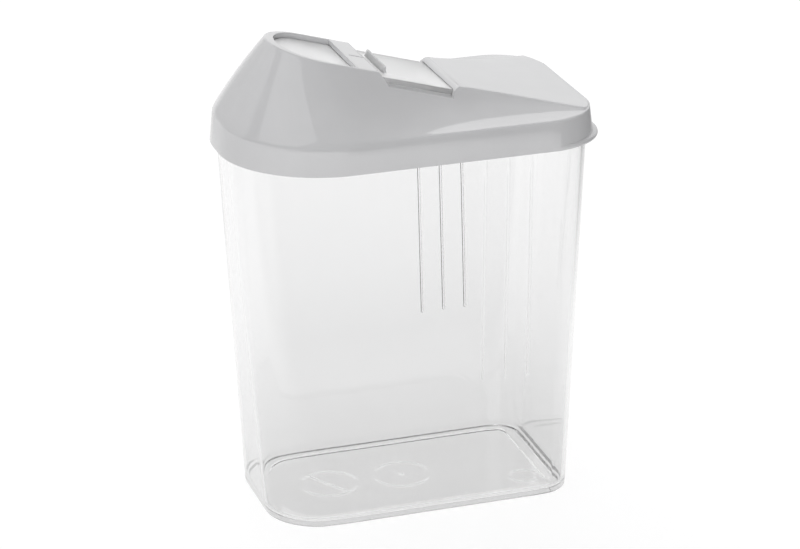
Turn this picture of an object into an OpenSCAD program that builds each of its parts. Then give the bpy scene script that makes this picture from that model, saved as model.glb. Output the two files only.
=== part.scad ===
// Storage canister for dry food: a clear tapered container, a snap-on lid with a pouring
// spout, and a clear shutter that slides down the sloped top of the lid.
// Millimetres. +X runs from the spout to the pull lip, +Y to the back and +Z up.
// The origin is the centre of the container's underside.

/* [Container] */
// Length of the base, end to end
base_length = 133.4; // [126:0.2:146]
// Depth of the base, front to back
base_depth = 79; // [70:0.5:88]
// Corner radius of the base at the spout's end, seen from above
base_corner = 25; // [18:0.5:30]
// Corner radius of the base at the pull lip's end
base_end_corner = 14; // [10:0.5:22]
// How far the wall at the spout's end leans out, up to the lid
spout_lean = 9.6; // [6:0.1:14]
// How far the wall at the pull lip's end leans out, up to the lid
lip_lean = 8.5; // [4:0.1:12]
// Depth of the body just under the lid
body_depth = 93.8; // [90:0.2:104]
// Straight part of the spout's end just under the lid, between its corners
end_flat = 8.8; // [4:0.2:20]
// Corner radius of the body just under the lid, at the pull lip's end
end_corner = 22.5; // [18:0.5:30]
// Height of the body that shows under the lid
body_height = 162; // [130:1:200]
// Wall thickness of the body
body_wall = 1.7; // [1.3:0.1:2.2]
// Thickness of the floor
floor_wall = 1.9; // [1.4:0.1:3]
// Radius between the floor and the wall, inside
inner_fillet = 3.2; // [1.5:0.1:5]
// Radius of the outer bottom edge
foot_radius = 1.6; // [0.8:0.1:2.4]

/* [Grip ribs] */
// Number of ribs on the front wall, and again on the back
rib_count = 3; // [1:1:4]
// Distance of the first rib from the middle of the wall
rib_start = 24; // [18:0.2:26]
// Spacing of the ribs
rib_spacing = 10.1; // [7:0.1:10.4]
// Width of a rib
rib_width = 2.2; // [1.4:0.1:3]
// How far a rib stands out at its lower end
rib_proud = 0.8; // [0.4:0.1:1.4]
// Height of the lower end of the ribs
rib_low = 60; // [30:1:80]
// Height at which the ribs have faded into the wall
rib_high = 148; // [100:1:155]

/* [Lid] */
// How far the skirt stands out past the body, all round
skirt_overhang = 3; // [2.4:0.1:4]
// Height of the skirt
skirt_height = 13; // [10:0.5:18]
// How much the skirt draws in towards its top
skirt_draft = 1.5; // [0.5:0.1:2]
// Wall thickness of the skirt
skirt_wall = 1.7; // [1.3:0.1:1.9]
// Thickness of the shoulder over the container's rim
shoulder_wall = 2.1; // [1.6:0.1:2.6]
// Width of the ledge that sits on the rim
seat_width = 2.3; // [2:0.1:3]
// Thickness of the sloped top
roof_wall = 1.9; // [1.6:0.1:2.1]
// Slope of the top, in degrees
slope = 16.2; // [12:0.2:19]
// Height of the bridge's lower edge above the skirt
bridge_rise = 20.75; // [18:0.25:24]
// Hollow of the lid's sides: 0 is a straight flank, 1 a quarter ellipse
hollow = 1; // [0.6:0.05:1]

/* [Spout] */
// Half of the width of the raised spout
spout_half = 22; // [18:0.2:24]
// Length of the spout's rounded nose
spout_nose = 18.6; // [14:0.2:22]
// Distance from the end of the lid to the spout's nose
spout_setback = 22.4; // [18:0.2:26]
// Length of the spout, from its nose to the notch
spout_length = 41.6; // [36:0.2:46]
// Width of the rim beside the pouring hole
spout_wall = 1.5; // [1.2:0.1:1.8]
// Width of the rim at the nose, along the slope
nose_wall = 3.7; // [2.6:0.1:4.6]
// Width of the bridge between the pouring hole and the notch
bridge_width = 9.4; // [7:0.1:12]
// Length of the notch, from the bridge to the ridge
notch_length = 36; // [32:0.5:38]
// How much wider the top gets towards the pull lip
flare = 19.8; // [14:0.2:24]
// Hollow of the top behind the ridge: 1 is straight
sweep = 1.2; // [1:0.05:1.6]
// Width of the slit in the bridge
slit_width = 0.9; // [0.6:0.1:1.4]
// Length of the slit in the bridge
slit_length = 7.2; // [4:0.1:8.5]

/* [Pull lip] */
// How far the lip stands out at the end of the lid
lip_reach = 1.9; // [1.2:0.1:4]
// Thickness of the lip
lip_thick = 2.2; // [1.4:0.1:3]

/* [Shutter] */
// Thickness of the shutter's plate
plate_thick = 2.4; // [1.8:0.1:2.8]
// How far the plate reaches under the ridge when it is shut
plate_tail = 3; // [1:0.5:8]
// Half of the width of the finger tab
tab_half = 13; // [8:0.5:16]
// Height of the finger tab above the plate
tab_height = 3; // [2.2:0.1:4]
// Thickness of the finger tab at its foot
tab_thick = 3; // [2.4:0.1:4]
// Distance of the finger tab from the bridge when it is shut
tab_gap = 4.6; // [3.5:0.1:6]
// Thickness of the ledges that carry the plate
ledge_thick = 1.5; // [1.2:0.1:2]
// How far the ledges reach under the plate
ledge_reach = 2.2; // [1.5:0.1:3]
// Length of the guide under the ridge
guide_length = 14; // [8:0.5:20]

/* [Fits] */
// Gap between the plate and the lid, on every side
slide_gap = 0.3; // [0.2:0.05:0.4]
// Gap between the container's rim and the skirt
rim_gap = 0.35; // [0.25:0.05:0.6]

/* [Hidden] */
arc = 12; // steps in a quarter turn
mids = 7; // points between two corners
flank = 8; // steps up the lid's side

// The body under the lid: its ends along X, and its corners at the spout's end
spout_end = base_length / 2 + spout_lean;
lip_end = base_length / 2 + lip_lean;
body_corner = (body_depth - end_flat) / 2;

// The crease over the skirt, and the rim that the skirt hides
crease_z = body_height + skirt_height;
crease_out = skirt_overhang - skirt_draft;
crease_x = lip_end + crease_out;
crease_r = end_corner + crease_out;
crease_y = body_depth / 2 + crease_out;
seat_z = crease_z - shoulder_wall;
rim_inset = skirt_draft * (seat_z - body_height) / skirt_height + skirt_wall + rim_gap;

// The spout, the bridge, the notch and the ridge along X
nose_x = spout_setback - spout_end - crease_out;
spout_x = nose_x + spout_nose;
bridge_x = nose_x + spout_length;
bridge_z = crease_z + bridge_rise;
ridge_x = bridge_x + notch_length * cos(slope);
ridge_z = bridge_z - notch_length * sin(slope);
end_rise = 0.3;

// The plate and its channel, measured down from the sloped top
plate_top = roof_wall + slide_gap;
plate_foot = plate_top + plate_thick;
channel_foot = plate_foot + slide_gap;
guide_foot = channel_foot + ledge_thick;
nose_u = (spout_x + 0.4 - bridge_x) / cos(slope);
nose_ru = (spout_nose + 0.4) / cos(slope) - nose_wall;
hole_half = spout_half - spout_wall;
// Where the ridge's chamfer starts, at the top of the plate
stop_u = notch_length - 1.7;
guide_end = notch_length + guide_length;

function mix(a, b, t) = a + (b - a) * t;
function clamp(v) = max(0, min(1, v));

// Half of a rounded outline, from the middle of the spout's end to that of the lip's end,
// with its ends at x0 and x1, its side at y and a corner radius for each end
function outline(x0, x1, y, r0, r1) =
    concat(
        [for (i = [0:arc]) let (a = 180 - 90 * i / arc)
            [x0 + r0 * (1 + cos(a)), y - r0 * (1 - sin(a))]],
        [for (i = [1:mids]) [mix(x0 + r0, x1 - r1, i / (mids + 1)), y]],
        [for (i = [0:arc]) let (a = 90 - 90 * i / arc)
            [x1 - r1 * (1 - cos(a)), y - r1 * (1 - sin(a))]]);
// The same round the body, at a share of its height and drawn in from its wall
function body_outline(t, inset) =
    outline(inset - mix(base_length / 2, spout_end, t), mix(base_length / 2, lip_end, t) - inset,
        mix(base_depth, body_depth, t) / 2 - inset, mix(base_corner, body_corner, t) - inset,
        mix(base_end_corner, end_corner, t) - inset);
function lift(half, z) = [for (p = half) [p[0], p[1], z]];
function whole(half) =
    concat(half, [for (i = [len(half) - 1:-1:0]) [half[i][0], -half[i][1], half[i][2]]]);
function flat(half) =
    concat(half, [for (i = [len(half) - 1:-1:0]) [half[i][0], -half[i][1]]]);

// A closed skin through a list of half outlines, each mirrored to the front
module skin(halves, inward = false) {
    rings = [for (h = halves) whole(h)];
    n = len(rings[0]);
    m = len(halves[0]);
    last = (len(rings) - 1) * n;
    walls = [for (k = [0:len(rings) - 2]) for (i = [0:n - 1])
        let (a = k * n + i, b = k * n + (i + 1) % n)
        each [[a, b, b + n], [a, b + n, a + n]]];
    lid_face = [for (i = [0:m - 2]) each [
        [i, n - 2 - i, i + 1], [i, n - 1 - i, n - 2 - i]]];
    far_face = [for (i = [0:m - 2]) each [
        [last + i, last + i + 1, last + n - 2 - i],
        [last + i, last + n - 2 - i, last + n - 1 - i]]];
    faces = concat(walls, lid_face, far_face);
    polyhedron(
        points = [for (r = rings) each r],
        faces = inward ? faces : [for (f = faces) [f[2], f[1], f[0]]]);
}

// The body's outline at a height, the rim's and the skirt's
function body_at(z, inset) = lift(body_outline(z / body_height, inset), z);
function rim_at(z, inset) = lift(body_outline(1, rim_inset - skirt_overhang + inset), z);
function skirt_at(z, inset) = lift(body_outline(1,
    skirt_draft * (z - body_height) / skirt_height + inset - skirt_overhang), z);

// The front wall's distance from the middle plane, at a place along it and a height
function wall_y(x, z) =
    let (t = z / body_height, r = mix(base_end_corner, end_corner, t),
        d = max(0, x - mix(base_length / 2, lip_end, t) + r))
    mix(base_depth, body_depth, t) / 2 - r + sqrt(r * r - d * d);

module shell_of_container() {
    skin(concat(
        [for (i = [0:4]) let (a = 22.5 * i)
            body_at(floor_wall + inner_fillet * (1 - cos(a)),
                body_wall + inner_fillet * (1 - sin(a)))],
        [body_at(body_height - 2, body_wall), rim_at(body_height + 1, body_wall),
            rim_at(seat_z, body_wall), rim_at(seat_z, 0), rim_at(body_height + 1, 0),
            body_at(body_height - 2, 0)],
        [for (i = [0:3]) let (a = 30 * i)
            body_at(foot_radius * (1 - sin(a)), foot_radius * (1 - cos(a)))]));
}

// A rib that stands out at its lower end and fades into the wall
module grip_rib(x) {
    rows = 7;
    section = [for (k = [0:rows]) let (
            t = k / rows, z = mix(rib_low, rib_high, t),
            w = rib_width / 2, p = mix(rib_proud, -0.1, pow(t, 1.2)))
        [for (q = [[-w, -0.6], [-w, 0.1 * p], [-0.6 * w, 0.75 * p], [0, p],
                [0.6 * w, 0.75 * p], [w, 0.1 * p], [w, -0.6]])
            [x + q[0], -wall_y(x + q[0], z) - q[1], z]]];
    n = len(section[0]);
    polyhedron(
        points = [for (s = section) each s],
        faces = concat(
            [[for (i = [0:n - 1]) i]],
            [[for (i = [0:n - 1]) rows * n + n - 1 - i]],
            [for (k = [0:rows - 1]) for (i = [0:n - 1])
                let (a = k * n + i, b = k * n + (i + 1) % n)
                each [[a, b + n, b], [a, a + n, b + n]]]));
}

module container() {
    color([0.86, 0.88, 0.90, 0.5]) {
        shell_of_container();
        for (side = [0, 1]) mirror([0, side, 0])
            for (i = [0:rib_count - 1]) grip_rib(rib_start + i * rib_spacing);
    }
}

// The lid's top surface: one slope down to the ridge, then a flatter one to the end
function top_z(x) = x <= ridge_x ? bridge_z - tan(slope) * (x - bridge_x)
    : crease_z + end_rise + (ridge_z - crease_z - end_rise)
        * pow(clamp((crease_x - x) / (crease_x - ridge_x)), sweep);
// Half of the top's width
function top_half(x) =
    spout_half + flare * pow(clamp((x - ridge_x) / (crease_x - ridge_x)), 1.5);

// The edge of the top, drawn in by the side's thickness and lowered by the roof's
function top_edge(side, edge, drop) =
    let (cx = crease_x - crease_r, cy = crease_y - crease_r, r = crease_r - edge,
        half = spout_half - side, flat_nose = 1.5,
        xy = concat(
            [for (i = [0:arc]) let (a = 180 - 90 * i / arc)
                [spout_x + (spout_nose - side) * cos(a),
                    flat_nose + (half - flat_nose) * sin(a)]],
            [for (i = [1:mids]) let (x = mix(spout_x, cx, i / (mids + 1)))
                [x, top_half(x) - side]],
            [for (i = [0:arc]) let (a = 90 - 90 * i / arc, x = cx + r * cos(a))
                [x, min(top_half(x) - side, cy + r * sin(a))]]))
    [for (p = xy) [p[0], p[1], top_z(p[0]) - drop]];

// A step of the lid's flank between the crease and the edge of the top
function flank_step(low, high, s) =
    [for (i = [0:len(low) - 1])
        let (w = hollow * mix(-0.1, 1, pow(sin(90 * clamp((high[i][0] - nose_x) / 75)), 2)),
            u = mix(s, sin(90 * s), w), v = mix(s, 1 - cos(90 * s), w))
        [mix(low[i][0], high[i][0], u), mix(low[i][1], high[i][1], u),
            mix(low[i][2], high[i][2], v)]];

module shell_of_lid() {
    crease = skirt_at(crease_z, 0);
    edge = top_edge(0, 0.8, 0);
    ledge = skirt_at(seat_z, skirt_wall + seat_width);
    ceiling = top_edge(spout_wall + 0.1, skirt_wall + seat_width + 1.4, roof_wall / cos(slope));
    skin(concat(
        [for (i = [0:6]) flank_step(ledge, ceiling, 1 - i / 6)],
        [skirt_at(seat_z, skirt_wall), skirt_at(body_height, skirt_wall),
            skirt_at(body_height, 0)],
        [for (i = [0:flank]) flank_step(crease, edge, i / flank)]), inward = true);
}

// Puts its children on the sloped top: X runs down the slope from the bridge's lower edge
module on_slope() {
    translate([bridge_x, 0, bridge_z]) rotate([0, slope, 0]) children();
}

// Between two depths under the sloped top
module layer(low, high) {
    translate([0, 0, -low]) linear_extrude(low - high) children();
}

// The plan of the plate's channel, grown or shrunk, up to a place along the slope
module channel_plan(grow, end) {
    polygon(concat(
        [for (i = [0:2 * arc]) let (a = 90 + 90 * i / arc)
            [nose_u + (nose_ru + grow) * cos(a), (hole_half + grow) * sin(a)]],
        [[end, -hole_half - grow], [end, hole_half + grow]]));
}

// A place on the sloped top's own axes, from its X and Z
function on_axes(x, z) =
    [(x - bridge_x) * cos(slope) - (z - bridge_z) * sin(slope),
        (x - bridge_x) * sin(slope) + (z - bridge_z) * cos(slope)];

// The block under the top that the channel is cut in
module guide() {
    end_x = bridge_x + guide_end * cos(slope);
    on_slope() intersection() {
        layer(guide_foot + 2, -2) channel_plan(1.1, guide_end + guide_foot);
        rotate([90, 0, 0]) linear_extrude(3 * spout_half, center = true) polygon(concat(
            [[nose_u - nose_ru - 9, -roof_wall + 0.3]],
            [for (i = [0:6]) let (x = mix(ridge_x - 1, end_x, i / 6))
                on_axes(x, top_z(x) - (roof_wall - 0.3) / cos(slope))],
            [[guide_end - 1, -guide_foot], [nose_u - nose_ru - 9, -guide_foot]]));
    }
}

// The crescent at the skirt's lower edge that lifts the lid
module pull_lip() {
    translate([0, 0, body_height]) linear_extrude(lip_thick) intersection() {
        difference() {
            translate([lip_reach, 0]) polygon(flat(body_outline(1, -skirt_overhang)));
            polygon(flat(body_outline(1, 0.6 - skirt_overhang)));
        }
        translate([lip_end - end_corner + 5, -body_depth])
            square([end_corner + 2 * skirt_overhang + lip_reach, 2 * body_depth]);
    }
}

module lid() {
    color([0.80, 0.80, 0.81]) difference() {
        union() {
            shell_of_lid();
            guide();
            pull_lip();
        }
        on_slope() {
            // Pouring hole down to the plate, then the throat inside the ledges
            layer(channel_foot, -6) channel_plan(0, -bridge_width);
            layer(channel_foot, roof_wall) channel_plan(0, guide_end + guide_foot);
            layer(guide_foot + 1, channel_foot - 0.1) channel_plan(-ledge_reach, guide_end + guide_foot);
            // Notch across the top, with the bridge's slope and the ridge's chamfer
            rotate([90, 0, 0]) linear_extrude(3 * spout_half, center = true) polygon([
                [-5, 5], [channel_foot, -channel_foot], [stop_u, -channel_foot],
                [stop_u, -plate_top], [notch_length + 3.4, 5]]);
            // Slit in the bridge
            translate([-slit_length, -0.9 - slit_width / 2, -roof_wall - 0.1])
                cube([slit_length + 6, slit_width, roof_wall + 2]);
        }
    }
}

// The finger tab's side: upright towards the spout, hollow towards the pull lip
module tab_side() {
    neck = tab_height - 0.5;
    translate([tab_gap, -plate_top]) polygon(concat(
        [[0, -0.5], [0.25, neck], [0.5, tab_height - 0.12], [0.9, tab_height],
            [1.3, tab_height - 0.12]],
        [for (i = [0:6]) [mix(1.6, tab_thick, 1 - cos(15 * i)), neck * (1 - sin(15 * i))]],
        [[tab_thick, -0.5]]));
}

module slider() {
    color([0.88, 0.90, 0.92, 0.6]) on_slope() {
        layer(plate_foot, plate_top) channel_plan(-slide_gap, notch_length + plate_tail);
        rotate([90, 0, 0]) linear_extrude(2 * tab_half, center = true) tab_side();
    }
}

container();
lid();
slider();
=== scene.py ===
import math
import bmesh
import bpy
from mathutils import Matrix, Vector
from mathutils.geometry import delaunay_2d_cdt


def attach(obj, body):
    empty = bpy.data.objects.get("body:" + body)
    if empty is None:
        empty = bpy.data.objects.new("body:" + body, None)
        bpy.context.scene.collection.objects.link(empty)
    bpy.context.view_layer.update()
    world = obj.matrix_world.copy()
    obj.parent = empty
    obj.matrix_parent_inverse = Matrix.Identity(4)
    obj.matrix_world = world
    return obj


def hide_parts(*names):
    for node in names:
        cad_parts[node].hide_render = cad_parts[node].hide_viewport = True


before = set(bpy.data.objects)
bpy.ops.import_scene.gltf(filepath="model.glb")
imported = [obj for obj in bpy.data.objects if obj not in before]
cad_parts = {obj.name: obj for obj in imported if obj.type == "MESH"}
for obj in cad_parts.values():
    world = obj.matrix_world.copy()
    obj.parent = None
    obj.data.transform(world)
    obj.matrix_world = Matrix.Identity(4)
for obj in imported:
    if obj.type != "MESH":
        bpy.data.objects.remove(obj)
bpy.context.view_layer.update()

# The camera stands a little left of the long front wall and looks down on the lid.
# Its place, roll and long lens come from lines fitted to the photograph's outline.
turn, rise, roll = math.radians(-17.55), math.radians(21.46), math.radians(-0.79)
looked_at = Vector((0.000755, 0.0, 0.09585))
towards_camera = Vector((math.sin(turn) * math.cos(rise), -math.cos(turn) * math.cos(rise),
                         math.sin(rise)))
level = Vector((math.cos(turn), math.sin(turn), 0.0))
upright = level.cross(-towards_camera)
across = level * math.cos(roll) + upright * math.sin(roll)
upward = upright * math.cos(roll) - level * math.sin(roll)
lens = bpy.data.cameras.new("camera")
lens.lens = 144.6
lens.sensor_width = 36.0
lens.sensor_fit = "HORIZONTAL"
lens.clip_start = 0.05
camera = bpy.data.objects.new("camera", lens)
bpy.context.collection.objects.link(camera)
camera.matrix_world = Matrix.Translation(looked_at + towards_camera * 1.3883) @ Matrix(
    (across, upward, towards_camera)).transposed().to_4x4()
bpy.context.scene.camera = camera
bpy.context.scene.view_settings.view_transform = "Standard"

# The table is a white sweep, and the room a plain white studio.
# Both are painted white for the eye and for reflections, save for painted shade that reflections
# see on the table far to the right and in front, and the table keeps the shadow.
table_mesh = bpy.data.meshes.new("table")
table_mesh.from_pydata([(-4, -4, -0.0003), (4, -4, -0.0003), (4, 4, -0.0003), (-4, 4, -0.0003)],
                       [], [(0, 1, 2, 3)])
table = bpy.data.objects.new("table", table_mesh)
bpy.context.collection.objects.link(table)


def paint(name):
    material = bpy.data.materials.new(name)
    material.use_nodes = True
    material.node_tree.nodes.clear()
    return material, material.node_tree.nodes, material.node_tree.links


def combined(nodes, links, operation, first, second):
    """Two values put together by a sum of the named kind."""
    step = nodes.new("ShaderNodeMath")
    step.operation = operation
    for socket, value in zip(step.inputs, (first, second)):
        if isinstance(value, float):
            socket.default_value = value
        else:
            links.new(value, socket)
    return step.outputs[0]


def ramped(nodes, links, value, start, end, low=0.0, high=1.0):
    """A value that runs from low to high while the given one runs from start to end."""
    step = nodes.new("ShaderNodeMapRange")
    step.inputs["From Min"].default_value = start
    step.inputs["From Max"].default_value = end
    step.inputs["To Min"].default_value = low
    step.inputs["To Max"].default_value = high
    links.new(value, step.inputs["Value"])
    return step.outputs["Result"]


def kinds_of_ray(nodes, links):
    """Rays that see the white studio, those that a polished surface has turned, and those of
    them that come out of clear plastic."""
    path = nodes.new("ShaderNodeLightPath")
    through = path.outputs["Is Transmission Ray"]
    straight = combined(nodes, links, "MAXIMUM", path.outputs["Is Camera Ray"], through)
    seen = combined(nodes, links, "MAXIMUM", straight, path.outputs["Is Glossy Ray"])
    turned = combined(nodes, links, "GREATER_THAN", path.outputs["Glossy Depth"], 0.5)
    return (seen, combined(nodes, links, "MULTIPLY", seen, turned),
            combined(nodes, links, "MULTIPLY", through, turned))


table_paint, nodes, links = paint("white_sweep")
seen, mirrored, piped = kinds_of_ray(nodes, links)
matte = nodes.new("ShaderNodeBsdfDiffuse")
pale = nodes.new("ShaderNodeMix")
pale.data_type = "RGBA"
pale.inputs[6].default_value = (0.60, 0.60, 0.60, 1)
pale.inputs[7].default_value = (0.25, 0.25, 0.25, 1)
links.new(seen, pale.inputs["Factor"])
links.new(pale.outputs[2], matte.inputs["Color"])
glow = nodes.new("ShaderNodeEmission")
glow.inputs["Color"].default_value = (1, 1, 1, 1)
where = nodes.new("ShaderNodeNewGeometry")
spot = nodes.new("ShaderNodeSeparateXYZ")
links.new(where.outputs["Position"], spot.inputs[0])
# painted shade for reflections: polished surfaces see the table's white fade far to the right, and
# clear plastic sees it fade in front
painted_dark_right = combined(nodes, links, "MULTIPLY", mirrored, ramped(
    nodes, links, spot.outputs["X"], 0.20, 0.60))
painted_dark_front = combined(nodes, links, "MULTIPLY", piped, ramped(
    nodes, links, spot.outputs["Y"], -0.06, -0.12))
painted_dark = combined(nodes, links, "MAXIMUM", painted_dark_right, painted_dark_front)
still_white = combined(nodes, links, "SUBTRACT", seen, painted_dark)
level_of_white = combined(nodes, links, "MULTIPLY", still_white, 0.78)
links.new(level_of_white, glow.inputs["Strength"])
both = nodes.new("ShaderNodeAddShader")
links.new(matte.outputs[0], both.inputs[0])
links.new(glow.outputs[0], both.inputs[1])
out = nodes.new("ShaderNodeOutputMaterial")
links.new(both.outputs[0], out.inputs["Surface"])
table_mesh.materials.append(table_paint)

# The room: a white sweep behind the table up to half height, grey above it and in front, and
# half grey at the left, as polished surfaces show it. The eye sees white all round.
room = bpy.data.worlds.new("room")
bpy.context.scene.world = room
room.use_nodes = True
nodes, links = room.node_tree.nodes, room.node_tree.links
nodes.clear()
soft = nodes.new("ShaderNodeBackground")
soft.inputs["Color"].default_value = (0.98, 0.98, 1.0, 1)
soft.inputs["Strength"].default_value = 0.40
white = nodes.new("ShaderNodeBackground")
white.inputs["Strength"].default_value = 1.0
place = nodes.new("ShaderNodeTexCoord")
direction = nodes.new("ShaderNodeSeparateXYZ")
links.new(place.outputs["Generated"], direction.inputs[0])
seen, mirrored, _ = kinds_of_ray(nodes, links)
ceiling = ramped(nodes, links, direction.outputs["Z"], 0.57, 0.60)
in_front = ramped(nodes, links, direction.outputs["Y"], 0.5, 0.3)
left_side = ramped(nodes, links, direction.outputs["X"], -0.1, -0.3, high=0.5)
grey_part = combined(nodes, links, "MAXIMUM", ceiling, in_front)
grey_part = combined(nodes, links, "MAXIMUM", grey_part, left_side)
away = combined(nodes, links, "MULTIPLY", mirrored, grey_part)
shade = nodes.new("ShaderNodeValToRGB")
shade.color_ramp.elements[0].color = (1, 1, 1, 1)
shade.color_ramp.elements[1].color = (0.26, 0.26, 0.26, 1)
links.new(away, shade.inputs["Fac"])
links.new(shade.outputs["Color"], white.inputs["Color"])
pick = nodes.new("ShaderNodeMixShader")
links.new(seen, pick.inputs["Fac"])
links.new(soft.outputs[0], pick.inputs[1])
links.new(white.outputs[0], pick.inputs[2])
out = nodes.new("ShaderNodeOutputWorld")
links.new(pick.outputs[0], out.inputs["Surface"])

# Four soft boxes: one low at the spout's end, one in front, one above the back, and a weak one
# high on the left, the only one that polished surfaces mirror.
for name, spot, width, power in (("soft_box_left", (-1.8, 0.3, 0.5), 1.8, 5),
                                 ("soft_box_front", (-0.6, -2.0, 0.9), 1.8, 21),
                                 ("soft_box_back", (0.2, 1.3, 1.7), 1.8, 27),
                                 ("soft_box_high", (-1.3, -0.5, 1.6), 1.7, 3.8)):
    lamp = bpy.data.lights.new(name, "AREA")
    lamp.shape = "SQUARE"
    lamp.size = width
    lamp.energy = power
    box = bpy.data.objects.new(name, lamp)
    bpy.context.collection.objects.link(box)
    box.location = spot
    box.visible_glossy = name == "soft_box_high"
    box.rotation_euler = (Vector(spot) - Vector((0, 0, 0.12))).to_track_quat("Z", "Y").to_euler()

# The container is one moulding in clear styrene: a rounded box whose walls lean out, so that it
# stacks and comes off its core, with three grip ribs on each long wall that run up to the lid.
base_length, base_depth, base_corners = 133.4, 79.0, (25.0, 14.0)
spout_end, lip_end, body_depth, body_corners = 76.3, 75.2, 93.8, (42.5, 22.5)
body_height, body_wall, floor_wall, inner_fillet, foot_radius = 162.0, 1.7, 1.9, 3.2, 1.6
seat_z, rim_step = 172.9, 0.308
rib_places, rib_width, rib_proud = (24.0, 34.1, 44.2), 1.4, 0.8
rib_low, rib_high = 60.0, 160.0
wall_start, wall_stop = -38.0, 50.0


def mix(a, b, t):
    return a + (b - a) * t


def bend(points, steps):
    """Points along a smooth bend that starts at the first point and ends at the last."""
    a, b, c = (Vector(p) for p in points)
    return [a * (1 - t) ** 2 + b * (2 * t * (1 - t)) + c * t * t
            for t in (i / steps for i in range(steps + 1))]


def wall_stations():
    """Places along a long wall, close together where a rib stands."""
    rib_steps = (-1.15, -1.0, -0.85, -0.7, -0.5, -0.25, 0.0, 0.25, 0.5, 0.7, 0.85, 1.0, 1.15)
    places = [x + s * rib_width / 2 for x in rib_places for s in rib_steps]
    places += [wall_start + 4.2 * i for i in range(15)] + [29.0, 39.1, 47.5, wall_stop]
    return sorted(places)


def rib_at(x, z):
    """How far the wall stands out at a rib."""
    if z < rib_low - 0.6 or z > rib_high:
        return 0.0
    fade = (z - rib_low) / (rib_high - rib_low)
    proud = rib_proud * mix(1, 0.8, max(0.0, fade)) * min(1.0, (rib_high - z) / 5)
    proud *= min(1.0, max(0.0, (z - rib_low + 0.6) / 1.0)) ** 0.5
    near = min(abs(x - place) for place in rib_places) / (rib_width / 2)
    return proud * (1 - near * near) if near < 1 else 0.0


def loop_at(z, inset, ribbed=False, arc=18, end=6):
    """The container's outline at a height, from the spout's end of the front wall and round."""
    t = min(z / body_height, 1.0)
    ends = (inset - mix(base_length / 2, spout_end, t), mix(base_length / 2, lip_end, t) - inset)
    y = mix(base_depth, body_depth, t) / 2 - inset
    near, far = (mix(a, b, t) - inset for a, b in zip(base_corners, body_corners))
    front = []
    for x in wall_stations():
        d = max(0.0, x - (ends[1] - far), ends[0] + near - x)
        r = far if x > 0 else near
        at = y - r + math.sqrt(max(0.0, r * r - d * d)) + (rib_at(x, z) if ribbed else 0.0)
        front.append((x, -at, z))

    def corner(middle, r, edge):
        start = math.acos(max(-1.0, min(1.0, abs(edge - middle) / r)))
        away = 1 if edge > 0 else -1
        return [(middle + away * r * math.cos(a), -(y - r + r * math.sin(a)), z)
                for a in (start * (1 - i / arc) for i in range(1, arc + 1))]

    def end_wall(x, r):
        return [(x, mix(-(y - r), y - r, i / end), z) for i in range(1, end)]

    lip_corner = corner(ends[1] - far, far, wall_stop)
    spout_corner = corner(ends[0] + near, near, wall_start)
    lip = lip_corner + end_wall(ends[1], far) + [(a, -b, c) for a, b, c in reversed(lip_corner)]
    spout = spout_corner + end_wall(ends[0], near) + [
        (a, -b, c) for a, b, c in reversed(spout_corner)]
    return front + lip + [(a, -b, c) for a, b, c in reversed(front)] + [
        (a, -b, c) for a, b, c in spout]


def quarter(steps):
    return [math.radians(90 * i / steps) for i in range(steps + 1)]


heights = sorted([8, 20, 35, 50, 57, rib_low - 0.6, rib_low - 0.45, rib_low - 0.25, rib_low,
                  rib_low + 0.4, rib_low + 1] + [rib_low + 3 + 3 * i for i in range(32)])
loops = [loop_at(floor_wall - sunk, inset) for sunk, inset in (
    (0.2, 9.1), (0.17, 8.95), (0.03, 8.65), (0.0, 8.5), (0.0, 5.1))]
loops += [loop_at(floor_wall + inner_fillet * (1 - math.cos(a)),
                  body_wall + inner_fillet * (1 - math.sin(a))) for a in quarter(10)]
loops += [loop_at(z, body_wall) for z in heights + [159.5]]
loops += [loop_at(162.6, rim_step + body_wall), loop_at(seat_z - 0.5, rim_step + body_wall)]
loops += [loop_at(seat_z - 0.5 * (1 - math.sin(a)), rim_step + body_wall - 0.5 * (1 - math.cos(a)))
          for a in quarter(4)[1:]]
loops += [loop_at(seat_z - 0.5 * (1 - math.cos(a)), rim_step + 0.5 * (1 - math.sin(a)))
          for a in quarter(4)]
loops += [loop_at(162.6, rim_step), loop_at(159.5, 0)]
loops += [loop_at(z, 0, ribbed=True) for z in reversed(heights)]
loops += [loop_at(foot_radius * (1 - math.sin(a)), foot_radius * (1 - math.cos(a)))
          for a in quarter(8)]

# The moulding has round marks on its floor: a gate mark in the middle with a ring round it,
# a ring with a bar across to its left, and a small one in the right front corner.
floor_rings = ((0.0, 0.0, 12.4), (-32.9, 1.0, 12.4), (50.2, -19.6, 6.2))
bar_ends = (Vector((-38.9, 10.5)), Vector((-27.9, -9.0)))
line_height, line_half, gate_height, gate_radius = 0.09, 0.4, 0.2, 1.6
line_steps = (-0.6, -0.4, -0.2, 0.0, 0.2, 0.4, 0.6)


def mark_height(x, y):
    rise = 0.0
    for cx, cy, r in floor_rings:
        off = abs(math.hypot(x - cx, y - cy) - r)
        rise = max(rise, line_height * max(0.0, 1 - (off / line_half) ** 2))
    rise = max(rise, gate_height * max(0.0, 1 - (math.hypot(x, y) / gate_radius) ** 2))
    a, b = bar_ends
    along = b - a
    t = max(0.0, min(1.0, (Vector((x, y)) - a).dot(along) / along.length_squared))
    off = (Vector((x, y)) - a - along * t).length
    return max(rise, line_height * max(0.0, 1 - (off / line_half) ** 2))


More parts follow.
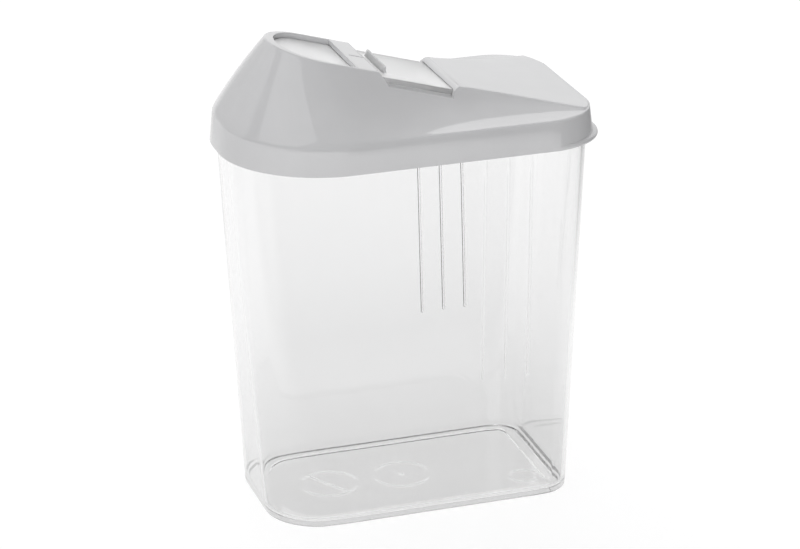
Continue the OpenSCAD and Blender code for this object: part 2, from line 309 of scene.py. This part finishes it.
def floor_face(rim, marked):
    """A flat face inside a closed rim, with the marks' points pushed up."""
    flat = [Vector((p[0], p[1])) for p in rim]
    count = len(flat)
    edges = [(i, (i + 1) % count) for i in range(count)]
    # a ring just inside the rim keeps the rim's turn from spreading over the face
    for i in range(count):
        inward = (flat[(i + 1) % count] - flat[i - 1]).orthogonal().normalized()
        flat.append(flat[i] + inward * math.copysign(0.5, -inward.dot(flat[i])))
    for cx, cy, r in floor_rings if marked else ():
        for step in line_steps:
            flat += [Vector((cx + (r + step) * math.cos(math.tau * k / 72),
                             cy + (r + step) * math.sin(math.tau * k / 72))) for k in range(72)]
    if marked:
        for r in (0.5, 1.0, gate_radius, 1.8):
            flat += [Vector((r * math.cos(math.tau * k / 16), r * math.sin(math.tau * k / 16)))
                     for k in range(16)]
        a, b = bar_ends
        sideways = (b - a).orthogonal().normalized()
        for step in line_steps:
            flat += [a.lerp(b, k / 40) + sideways * step for k in range(41)]
    points, _, faces, _, _, _ = delaunay_2d_cdt(flat, edges, [], 1, 1e-5)
    return points, faces


def hull(name, loops, caps=()):
    """A closed mesh through a row of loops, with a face at each end."""
    n = len(loops[0])
    mesh = bmesh.new()
    rows = [[mesh.verts.new(Vector(p) * 0.001) for p in loop] for loop in loops]
    for low, high in zip(rows, rows[1:]):
        for i in range(n):
            j = (i + 1) % n
            mesh.faces.new((low[i], low[j], high[j], high[i]))
    for row, marked in zip((rows[0], rows[-1]), caps):
        z = row[0].co.z
        points, faces = floor_face([v.co * 1000 for v in row], marked)
        corners = list(row)
        for p in points[len(row):]:
            top = mark_height(p.x, p.y) * 0.001 if marked else 0.0
            corners.append(mesh.verts.new((p.x * 0.001, p.y * 0.001, z + top)))
        for f in faces:
            mesh.faces.new([corners[k] for k in f])
    bmesh.ops.recalc_face_normals(mesh, faces=mesh.faces)
    data = bpy.data.meshes.new(name)
    mesh.to_mesh(data)
    mesh.free()
    piece = bpy.data.objects.new(name, data)
    bpy.context.collection.objects.link(piece)
    return piece


def smooth(piece, degrees):
    piece.data.shade_smooth()
    piece.data.set_sharp_from_angle(angle=math.radians(degrees))


container = hull("clear_container", loops, caps=(True, False))
smooth(container, 40)


# Clear styrene: a trace of grey that deepens towards the floor as painted shade,
# and a polished surface with the slightest waviness from the mould. The grey runs from the low
# height to the high one, and haze dulls the polish.
def clear_plastic(name, tints, low, high, ripple, clear, haze=0.0):
    material, nodes, links = paint(name)
    shader = nodes.new("ShaderNodeBsdfPrincipled")
    shader.inputs["IOR"].default_value = 1.53
    shader.inputs["Transmission Weight"].default_value = clear
    place = nodes.new("ShaderNodeTexCoord")
    height = nodes.new("ShaderNodeSeparateXYZ")
    links.new(place.outputs["Object"], height.inputs[0])
    tint = nodes.new("ShaderNodeValToRGB")
    tint.color_ramp.elements.new(0.5)
    for stop, grey in zip(tint.color_ramp.elements, tints):
        stop.color = (grey, grey, grey, 1)
    links.new(ramped(nodes, links, height.outputs["Z"], low, high), tint.inputs["Fac"])
    links.new(tint.outputs["Color"], shader.inputs["Base Color"])
    cloud = nodes.new("ShaderNodeTexNoise")
    cloud.inputs["Scale"].default_value = 60.0
    cloud.inputs["Detail"].default_value = 3.0
    links.new(place.outputs["Object"], cloud.inputs["Vector"])
    links.new(ramped(nodes, links, cloud.outputs["Fac"], 0.0, 1.0, haze, haze + 0.03),
              shader.inputs["Roughness"])
    flow = nodes.new("ShaderNodeTexNoise")
    flow.inputs["Scale"].default_value = 28.0
    flow.inputs["Detail"].default_value = 1.0
    links.new(place.outputs["Object"], flow.inputs["Vector"])
    wave = nodes.new("ShaderNodeBump")
    wave.inputs["Strength"].default_value = ripple
    wave.inputs["Distance"].default_value = 0.001
    links.new(flow.outputs["Fac"], wave.inputs["Height"])
    links.new(wave.outputs["Normal"], shader.inputs["Normal"])
    # shadows stay light, and light that has bounced often inside goes straight on
    path = nodes.new("ShaderNodeLightPath")
    trapped = combined(nodes, links, "GREATER_THAN", path.outputs["Glossy Depth"], 3.5)
    passes = combined(nodes, links, "MAXIMUM", path.outputs["Is Shadow Ray"], trapped)
    let_through = nodes.new("ShaderNodeBsdfTransparent")
    let_through.inputs["Color"].default_value = (0.90, 0.90, 0.90, 1)
    blend = nodes.new("ShaderNodeMixShader")
    links.new(passes, blend.inputs["Fac"])
    links.new(shader.outputs[0], blend.inputs[1])
    links.new(let_through.outputs[0], blend.inputs[2])
    depth = nodes.new("ShaderNodeVolumeAbsorption")
    depth.inputs["Color"].default_value = (0.5, 0.5, 0.5, 1)
    depth.inputs["Density"].default_value = 8.0
    out = nodes.new("ShaderNodeOutputMaterial")
    links.new(blend.outputs[0], out.inputs["Surface"])
    links.new(depth.outputs[0], out.inputs["Volume"])
    return material


# the container's grey deepens towards the floor as painted shade
container.data.materials.append(
    clear_plastic("clear_styrene", (0.82, 0.94, 0.985), 0.0, 0.165, 0.06, 1.0))
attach(container, "container")
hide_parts("container")

# The lid is one moulding in light grey plastic: a skirt that snaps over the container's rim,
# hollow shoulders that rise to a raised spout, and a roof that sweeps down to the other end.
skirt_overhang, skirt_draft, skirt_height = 3.0, 1.5, 13.0
skirt_wall, seat_width, roof_wall = 1.7, 2.3, 1.9
slope = math.radians(16.2)
crease_z, crease_x, crease_y, crease_r = 175.0, 76.7, 48.4, 24.0
nose_x, spout_nose, spout_half, spout_wall, nose_wall = -55.4, 18.6, 22.0, 1.5, 3.7
bridge_x, bridge_z, bridge_width, notch_length = -13.8, 195.75, 9.4, 36.0
spout_x = nose_x + spout_nose
ridge_x = bridge_x + notch_length * math.cos(slope)
ridge_z = bridge_z - notch_length * math.sin(slope)
end_rise, flare, sweep = 0.3, 19.8, 1.2
corner_steps, straight_steps, flank_steps = 26, 16, 22


def skirt_at(z, inset):
    """Half of the lid's outline at a height, from the spout's end to the lip's end."""
    d = skirt_draft * (z - body_height) / skirt_height + inset - skirt_overhang
    x0, x1, y, r0, r1 = d - spout_end, lip_end - d, body_depth / 2 - d, *(
        r - d for r in body_corners)
    turn = [math.radians(90 * i / corner_steps) for i in range(corner_steps + 1)]
    return ([Vector((x0 + r0 * (1 - math.cos(a)), y - r0 * (1 - math.sin(a)), z)) for a in turn]
            + [Vector((mix(x0 + r0, x1 - r1, i / straight_steps), y, z))
               for i in range(1, straight_steps)]
            + [Vector((x1 - r1 * (1 - math.sin(a)), y - r1 * (1 - math.cos(a)), z))
               for a in turn])


def part_way(x, start, end):
    return max(0.0, min(1.0, (x - start) / (end - start)))


def roof_z(x):
    if x <= ridge_x:
        return bridge_z - math.tan(slope) * (x - bridge_x)
    return crease_z + end_rise + (ridge_z - crease_z - end_rise) * part_way(
        -x, -crease_x, -ridge_x) ** sweep


def roof_edge(side, edge, drop):
    """Half of the roof's edge, drawn in by the side's thickness and lowered by the roof's."""
    cx, cy, r = crease_x - crease_r, crease_y - crease_r, crease_r - edge
    half, blunt = spout_half - side, 1.5

    def half_width(x):
        return spout_half + flare * part_way(x, ridge_x, crease_x) ** 1.5 - side

    turn = [math.radians(90 * i / corner_steps) for i in range(corner_steps + 1)]
    plan = [(spout_x - (spout_nose - side) * math.cos(a), blunt + (half - blunt) * math.sin(a))
            for a in turn]
    plan += [(x, half_width(x)) for x in (mix(spout_x, cx, i / straight_steps)
                                          for i in range(1, straight_steps))]
    for a in turn:
        x, near, far = cx + r * math.sin(a), half_width(cx + r * math.sin(a)), cy + r * math.cos(a)
        blend = max(0.0, 2.5 - abs(near - far)) / 2.5
        plan.append((x, min(near, far) - blend * blend * 2.5 / 6))
    return [Vector((x, y, roof_z(x) - drop)) for x, y in plan]


def flank(low, high, steps):
    """Lines up the lid's side: straight at the nose, a hollow quarter ellipse at the shoulder."""
    lines = []
    for a, b in zip(low, high):
        w = mix(-0.1, 1, math.sin(math.pi / 2 * part_way(b.x, nose_x, nose_x + 75)) ** 2)
        line = []
        for k in range(steps + 1):
            s = k / steps
            u = mix(s, math.sin(math.pi / 2 * s), w)
            v = mix(s, 1 - math.cos(math.pi / 2 * s), w)
            line.append(Vector((mix(a.x, b.x, u), mix(a.y, b.y, u), mix(a.z, b.z, v))))
        lines.append(line)
    return lines


def spaced(line, start, end, steps):
    """Evenly spaced points on a line, from a distance after its start to one before its end."""
    run = [0.0]
    for a, b in zip(line, line[1:]):
        run.append(run[-1] + (b - a).length)
    points, k = [], 0
    for i in range(steps + 1):
        at = mix(start, run[-1] - end, i / steps)
        while k < len(line) - 2 and run[k + 1] < at:
            k += 1
        points.append(line[k].lerp(line[k + 1], (at - run[k]) / max(1e-9, run[k + 1] - run[k])))
    return points


crease, edge = skirt_at(crease_z, 0), roof_edge(0, 0.8, 0)
drawn_in = roof_edge(1.0, 1.8, 0)
outer = []
for i, line in enumerate(flank(crease, edge, 60)):
    length = sum((b - a).length for a, b in zip(line, line[1:]))
    low_turn = min(mix(3.2, 1.1, part_way(edge[i].x, nose_x, nose_x + 40)), 0.3 * length)
    high_turn = min(0.9, 0.35 * length)
    up = spaced(line, low_turn, high_turn, flank_steps)
    below = crease[i].lerp(skirt_at(crease_z - 1, 0)[i], min(1.0, low_turn))
    inward = edge[i].lerp(drawn_in[i], high_turn)
    outer.append(bend((below, crease[i], up[0]), 5) + up[1:-1] + bend((up[-1], edge[i], inward), 5))
inside = flank(skirt_at(seat_z, skirt_wall + seat_width),
               roof_edge(spout_wall + 0.1, skirt_wall + seat_width + 1.4,
                         roof_wall / math.cos(slope)), 10)
skirt_lines = [list(p) for p in zip(
    skirt_at(seat_z, skirt_wall), skirt_at(body_height + 0.5, skirt_wall),
    skirt_at(body_height + 0.15, skirt_wall - 0.15), skirt_at(body_height, skirt_wall - 0.5),
    skirt_at(body_height, 0.5), skirt_at(body_height + 0.15, 0.15),
    skirt_at(body_height + 0.5, 0.0))]
stations = [list(reversed(a)) + b + c for a, b, c in zip(inside, skirt_lines, outer)]


def lofted(name, stations, rows):
    """A closed skin through half profiles, each mirrored to the front, with ruled end faces."""
    mesh = bmesh.new()
    back = [[mesh.verts.new(p * 0.001) for p in line] for line in stations]
    front = [[mesh.verts.new(Vector((p.x, -p.y, p.z)) * 0.001) for p in line] for line in stations]
    ring = back + front[::-1]
    count = len(ring)
    for i in range(count):
        a, b = ring[i], ring[(i + 1) % count]
        for k in range(len(a) - 1):
            mesh.faces.new((a[k], a[k + 1], b[k + 1], b[k]))
    for end in (0, -1):
        grid = []
        for a, b in zip(back, front):
            inner = [mesh.verts.new(a[end].co.lerp(b[end].co, j / rows)) for j in range(1, rows)]
            grid.append([a[end]] + inner + [b[end]])
        for a, b in zip(grid, grid[1:]):
            for j in range(rows):
                mesh.faces.new((a[j], a[j + 1], b[j + 1], b[j]))
    # the first and the last row lie on the ring's own edge
    bmesh.ops.remove_doubles(mesh, verts=mesh.verts, dist=1e-7)
    bmesh.ops.holes_fill(mesh, edges=[e for e in mesh.edges if e.is_boundary], sides=rows + 2)
    bmesh.ops.recalc_face_normals(mesh, faces=mesh.faces)
    data = bpy.data.meshes.new(name)
    mesh.to_mesh(data)
    mesh.free()
    piece = bpy.data.objects.new(name, data)
    bpy.context.collection.objects.link(piece)
    return piece


lid = lofted("grey_lid", stations, 12)

# Under the roof hangs the shutter's guide, and the crescent lip stands out at the far end.
# The mould's cores leave the D-shaped pouring hole, the channel, the throat, the notch and slit.
plate_top, plate_foot, channel_foot, guide_foot = 2.2, 4.6, 4.9, 6.4
nose_u = (spout_x + 0.4 - bridge_x) / math.cos(slope)
nose_ru = (spout_nose + 0.4) / math.cos(slope) - nose_wall
hole_half, stop_u, guide_end, ledge_reach = 20.5, 34.3, 50.0, 2.2
lip_reach, lip_thick = 1.9, 2.2
on_slope = Matrix.Translation((bridge_x, 0, bridge_z)) @ Matrix.Rotation(slope, 4, "Y")


def channel_plan(grow, end, steps=28):
    """The plan of the shutter's channel, grown or shrunk, up to a place along the slope."""
    turn = [math.radians(90 + 180 * i / steps) for i in range(steps + 1)]
    plan = [(nose_u + (nose_ru + grow) * math.cos(a), (hole_half + grow) * math.sin(a))
            for a in turn]
    return plan + [(end, -hole_half - grow), (end, hole_half + grow)]


def prism(rings, placed=on_slope):
    """A closed solid through rings of equal count, flat at both ends."""
    mesh = bmesh.new()
    rows = [[mesh.verts.new((placed @ Vector(p)) * 0.001) for p in ring] for ring in rings]
    for low, high in zip(rows, rows[1:]):
        for i in range(len(low)):
            j = (i + 1) % len(low)
            mesh.faces.new((low[i], low[j], high[j], high[i]))
    mesh.faces.new(rows[0])
    mesh.faces.new(rows[-1])
    bmesh.ops.recalc_face_normals(mesh, faces=mesh.faces)
    data = bpy.data.meshes.new("core")
    mesh.to_mesh(data)
    mesh.free()
    core = bpy.data.objects.new("core", data)
    bpy.context.collection.objects.link(core)
    return core


def shape(piece, core, how):
    """Joins a solid to a piece, or cuts it away, and drops the solid."""
    step = piece.modifiers.new("shape", "BOOLEAN")
    step.operation = how
    step.object = core
    step.solver = "EXACT"
    bpy.context.view_layer.objects.active = piece
    bpy.ops.object.modifier_apply(modifier=step.name)
    bpy.data.objects.remove(core)


def side_profile(points, half_width):
    """A solid with a profile seen from the side, on the slope's own axes."""
    return prism([[(u, y, h) for u, h in points] for y in (-half_width, half_width)])


def on_axes(x, z):
    """A place's distance along the slope and its height over it."""
    dx, dz = x - bridge_x, z - bridge_z
    return (dx * math.cos(slope) - dz * math.sin(slope),
            dx * math.sin(slope) + dz * math.cos(slope))


guide = prism([[(u, y, h) for u, y in channel_plan(1.1, guide_end + 9)] for h in (-8.4, 2)])
end_x = bridge_x + guide_end * math.cos(slope)
under = [on_axes(x, roof_z(x) - (roof_wall - 0.3) / math.cos(slope))
         for x in (mix(ridge_x - 1, end_x, i / 8) for i in range(9))]
shape(guide, side_profile([(nose_u - nose_ru - 9, 0.3 - roof_wall)] + under + [
    (guide_end - 1, -guide_foot), (nose_u - nose_ru - 9, -guide_foot)], 33), "INTERSECT")
shape(lid, guide, "UNION")

lip_rings = []
lip_corner = body_corners[1] + skirt_overhang
for k in range(-40, 41):
    # round the near corner, along the straight end and round the far corner
    a = math.radians(85 * max(-1.0, min(1.0, k / 24 - math.copysign(2 / 3, k)
                                        if abs(k) > 16 else 0.0)))
    along = (body_depth / 2 + skirt_overhang - lip_corner) * max(-1.0, min(1.0, k / 16))
    centre = Vector((lip_end + skirt_overhang - lip_corner, along, 0))
    out_dir = Vector((math.cos(a), math.sin(a), 0))
    full = 1 - max(0.0, (abs(math.degrees(a)) - 20) / 65) ** 2
    reach = lip_reach * full - 0.35 * (1 - full)
    start = centre + out_dir * (lip_corner - 0.8)
    rim = lip_thick / 2
    ring = [start + Vector((0, 0, body_height + 0.02))]
    for step in range(7):
        b = math.radians(-90 + 180 * step / 6)
        push = 0.8 + reach - min(rim, 0.3 + reach) * (1 - math.cos(b))
        ring.append(start + out_dir * max(0.1 + 0.01 * step, push) + Vector(
            (0, 0, body_height + lip_thick / 2 + math.sin(b) * (lip_thick / 2 - 0.02))))
    ring.append(start + Vector((0, 0, body_height + lip_thick - 0.02)))
    lip_rings.append(ring)
shape(lid, prism(lip_rings, Matrix.Identity(4)), "UNION")

hole_turn = 0.35
hole_rings = [[(u, y, -channel_foot) for u, y in channel_plan(0, -bridge_width)]]
for a in [math.radians(78 * i / 5) for i in range(6)]:
    grow = hole_turn * (1 - math.cos(a))
    hole_rings.append([(u, y, hole_turn * (math.sin(a) - 1))
                       for u, y in channel_plan(grow, grow - bridge_width)])
hole_rings += [[(u, y, 6) for u, y in channel_plan(2.0, 2.0 - bridge_width)]]
shape(lid, prism(hole_rings), "DIFFERENCE")
shape(lid, prism([[(u, y, h) for u, y in channel_plan(0, guide_end + 20)]
                  for h in (-channel_foot, -roof_wall)]), "DIFFERENCE")
shape(lid, prism([[(u, y, h) for u, y in channel_plan(-ledge_reach, guide_end + 20)]
                  for h in (-guide_foot - 1, 0.1 - channel_foot)]), "DIFFERENCE")
step_edge = bend(((-1.2, 0, 0.02), (0, 0, 0), (0.7, 0, -0.7)), 5)
ridge_edge = bend(((notch_length - 0.75, 0, -0.9), (notch_length, 0, 0),
                   (notch_length + 1.2, 0, 0.02)), 5)
notch = [(-5, 5), (-1.9, 0.6)] + [(p.x, p.z) for p in step_edge] + [
    (channel_foot, -channel_foot), (stop_u, -channel_foot), (stop_u, -plate_top)] + [
    (p.x, p.z) for p in ridge_edge] + [(notch_length + 2.2, 0.6), (notch_length + 5, 5)]
shape(lid, side_profile(notch, 33), "DIFFERENCE")
slit_start, slit_end, slit_near, slit_far = -7.2, 6, -1.35, -0.45
slit = ((slit_start, slit_near), (slit_end, slit_near),
        (slit_end, slit_far), (slit_start, slit_far))
shape(lid, prism([[(u, y, h) for u, y in slit] for h in (-roof_wall - 0.1, 3)]), "DIFFERENCE")
smooth(lid, 32)

# Light grey plastic, glossy from a polished mould, with a faint cloudiness in the colour
# and the finest unevenness in the gloss.
lid_paint, nodes, links = paint("light_grey_plastic")
shader = nodes.new("ShaderNodeBsdfPrincipled")
shader.inputs["IOR"].default_value = 2.0
place = nodes.new("ShaderNodeTexCoord")
cloud = nodes.new("ShaderNodeTexNoise")
cloud.inputs["Scale"].default_value = 45.0
cloud.inputs["Detail"].default_value = 4.0
links.new(place.outputs["Object"], cloud.inputs["Vector"])
colour = nodes.new("ShaderNodeValToRGB")
colour.color_ramp.elements[0].position = 0.3
colour.color_ramp.elements[0].color = (0.585, 0.585, 0.59, 1)
colour.color_ramp.elements[1].position = 0.7
colour.color_ramp.elements[1].color = (0.61, 0.61, 0.615, 1)
links.new(cloud.outputs["Fac"], colour.inputs["Fac"])
links.new(colour.outputs["Color"], shader.inputs["Base Color"])
fine = nodes.new("ShaderNodeTexNoise")
fine.inputs["Scale"].default_value = 900.0
fine.inputs["Detail"].default_value = 2.0
links.new(place.outputs["Object"], fine.inputs["Vector"])
links.new(ramped(nodes, links, fine.outputs["Fac"], 0.0, 1.0, 0.02, 0.045),
          shader.inputs["Roughness"])
skin = nodes.new("ShaderNodeBump")
skin.inputs["Strength"].default_value = 0.02
skin.inputs["Distance"].default_value = 0.0004
links.new(fine.outputs["Fac"], skin.inputs["Height"])
links.new(skin.outputs["Normal"], shader.inputs["Normal"])
out = nodes.new("ShaderNodeOutputMaterial")
links.new(shader.outputs[0], out.inputs["Surface"])
lid.data.materials.clear()
lid.data.materials.append(lid_paint)
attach(lid, "lid")
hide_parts("lid")

# The shutter is one clear moulding: a plate with a round nose that closes the pouring hole,
# and a low finger tab across it, upright towards the spout and hollow towards the ridge.
slide_gap, plate_tail = 0.3, 3.0
tab_gap, tab_half, tab_height, tab_thick = 4.6, 13.0, 3.0, 3.0
edge_turn = 0.35
edge_line = [(edge_turn * (1 - math.sin(a)), -plate_foot + edge_turn * (1 - math.cos(a)))
             for a in quarter(3)]
edge_line += [(edge_turn * (1 - math.cos(a)), -plate_top - edge_turn * (1 - math.sin(a)))
              for a in quarter(3)]
plate_rings = [[(u, y, h) for u, y in channel_plan(
    -slide_gap - shrink, notch_length + plate_tail - shrink, 40)] for shrink, h in edge_line]
shutter = prism(plate_rings)
shutter.name = "clear_shutter"


def tab_profile(narrow):
    """The tab seen from its end, thinner towards its two rounded ends."""
    neck = tab_height - 0.5
    points = [(0, -0.5), (0.02, 0.4), (0.25, neck - 0.3), (0.4, tab_height - 0.2),
              (0.6, tab_height - 0.04), (0.9, tab_height), (1.2, tab_height - 0.04),
              (1.42, tab_height - 0.2), (1.55, neck - 0.15)]
    points += [(mix(1.6, tab_thick, 1 - math.cos(math.radians(9 * i))),
                (neck - 0.3) * (1 - math.sin(math.radians(9 * i)))) for i in range(1, 11)]
    points += [(tab_thick, -0.5)]
    return [(tab_gap + mix(0.8, u, narrow), h - plate_top - (1 - narrow) * (0.5 if h > 1 else 0))
            for u, h in points]


end_turn = 1.4
tab_rings = [(-tab_half + end_turn * (1 - math.cos(a)), max(0.15, math.sin(a)))
             for a in quarter(7)]
tab_rings += [(-y, narrow) for y, narrow in reversed(tab_rings)]
tab = prism([[(u, y, h) for u, h in tab_profile(narrow)] for y, narrow in tab_rings])
shape(shutter, tab, "UNION")
smooth(shutter, 35)
shutter.data.materials.clear()
# the plate's flat faces come hazy from the mould, and its edges and the tab are polished
shutter.data.materials.append(
    clear_plastic("clear_shutter_styrene", (0.97, 0.97, 0.97), 0.18, 0.21, 0.04, 0.65))
shutter.data.materials.append(
    clear_plastic("hazy_shutter_styrene", (0.83, 0.83, 0.83), 0.18, 0.21, 0.04, 0.3, 0.25))
for face in shutter.data.polygons:
    over_slope = on_axes(face.center.x * 1000, face.center.z * 1000)[1]
    flat = abs(face.normal.x * math.sin(slope) + face.normal.z * math.cos(slope)) > 0.99
    face.material_index = 1 if flat and over_slope < 0.1 - plate_top else 0
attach(shutter, "slider")
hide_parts("slider")
